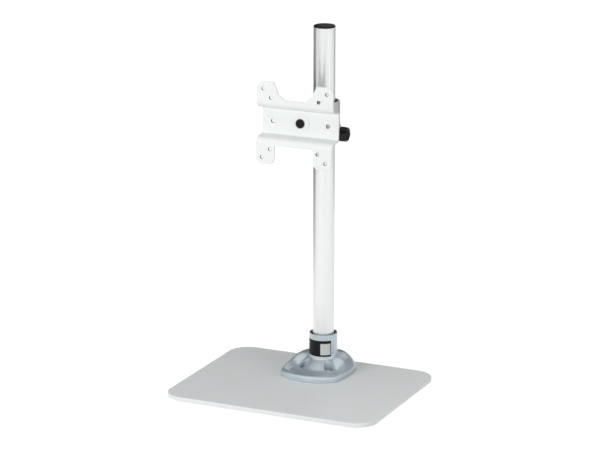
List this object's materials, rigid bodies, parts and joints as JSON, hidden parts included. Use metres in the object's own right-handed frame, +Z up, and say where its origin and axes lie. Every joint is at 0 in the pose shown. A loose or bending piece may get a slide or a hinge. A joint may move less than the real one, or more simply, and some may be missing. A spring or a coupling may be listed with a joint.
{
  "type": "monitor stand",
  "caption": "Desktop monitor stand: flat base plate, cast foot and round pole carrying a clamped sliding head with a tilting, pivoting screen bracket.",
  "frame": {"origin": "on the floor under the middle of the base plate, at the undersides of the rubber pads", "axes": "+Z up along the pole, -Y towards the screen and the user, +X to the side of the clamp knob"},
  "size_m": [0.33, 0.262, 0.5303],
  "materials": {
    "plate_paint": "pale grey fine-textured powder coat",
    "foot_paint": "semi-gloss blue-grey metallic paint on a casting",
    "pole_paint": "satin pale silver-grey paint",
    "sleeve_paint": "satin mid-grey paint on a casting",
    "white_paint": "satin near-white powder coat",
    "black_plastic": "moulded black plastic",
    "black_steel": "black oxide steel",
    "zinc_steel": "zinc-plated steel",
    "brass": "turned brass",
    "nylon": "natural nylon",
    "rubber": "matt black rubber"
  },
  "bodies": {
    "base": {"base_plate": "plate_paint", "rubber_pad_front_left": "rubber", "rubber_pad_back_left": "rubber", "rubber_pad_front_right": "rubber", "rubber_pad_back_right": "rubber", "foot_casting": "foot_paint", "foot_screw_1": "zinc_steel", "foot_screw_2": "zinc_steel", "foot_screw_3": "zinc_steel", "foot_screw_4": "zinc_steel", "collar_liner": "black_plastic", "collar_set_screw": "black_steel", "pole_tube": "pole_paint", "pole_plug": "zinc_steel", "pole_bolt": "zinc_steel", "pole_cap": "black_plastic"},
    "slider": {"upper_bush": "black_plastic", "lower_bush": "black_plastic"},
    "swivel": {"clamp_sleeve": "sleeve_paint", "clamp_insert": "brass", "friction_washer_left": "nylon", "friction_washer_right": "nylon"},
    "clamp_slide": {"pressure_pad": "nylon"},
    "knob": {"clamp_screw": "zinc_steel", "clamp_knob": "black_plastic"},
    "tilt": {"tilt_yoke": "sleeve_paint", "tilt_bolt": "zinc_steel", "tilt_nut": "zinc_steel", "tilt_washer_left": "zinc_steel", "tilt_washer_right": "zinc_steel", "pivot_friction_disc": "nylon", "pivot_washer": "white_paint", "pivot_spring_washer": "zinc_steel", "pivot_nut": "zinc_steel", "pivot_bolt": "black_steel"},
    "pivot": {"screen_bracket": "white_paint"}
  },
  "joints": [
    {"name": "height_slide", "type": "slide", "parent": "base", "child": "slider", "axis": [0, 0, 1], "range_m": [-0.283, 0.1]},
    {"name": "pole_swivel", "type": "hinge", "parent": "slider", "child": "swivel", "pos_m": [0, 0.0817, 0.38785], "axis": [0, 0, 1], "continuous": true},
    {"name": "pad_travel", "type": "slide", "parent": "swivel", "child": "clamp_slide", "axis": [1, 0, 0], "range_m": [0, 0.0018]},
    {"name": "knob_turn", "type": "hinge", "parent": "clamp_slide", "child": "knob", "pos_m": [0.033, 0.0817, 0.371], "axis": [1, 0, 0], "range_deg": [0, 540]},
    {"name": "head_tilt", "type": "hinge", "parent": "swivel", "child": "tilt", "pos_m": [0, 0.034, 0.3998], "axis": [1, 0, 0], "range_deg": [-27, 18]},
    {"name": "head_pivot", "type": "hinge", "parent": "tilt", "child": "pivot", "pos_m": [0, -0.02392, 0.40284], "axis": [0, -0.9986, 0.0523], "range_deg": [-90, 90]}
  ],
  "couplings": [
    {"joint": "knob_turn", "follows": "pad_travel", "rad_per_m": 5026.5}
  ]
}
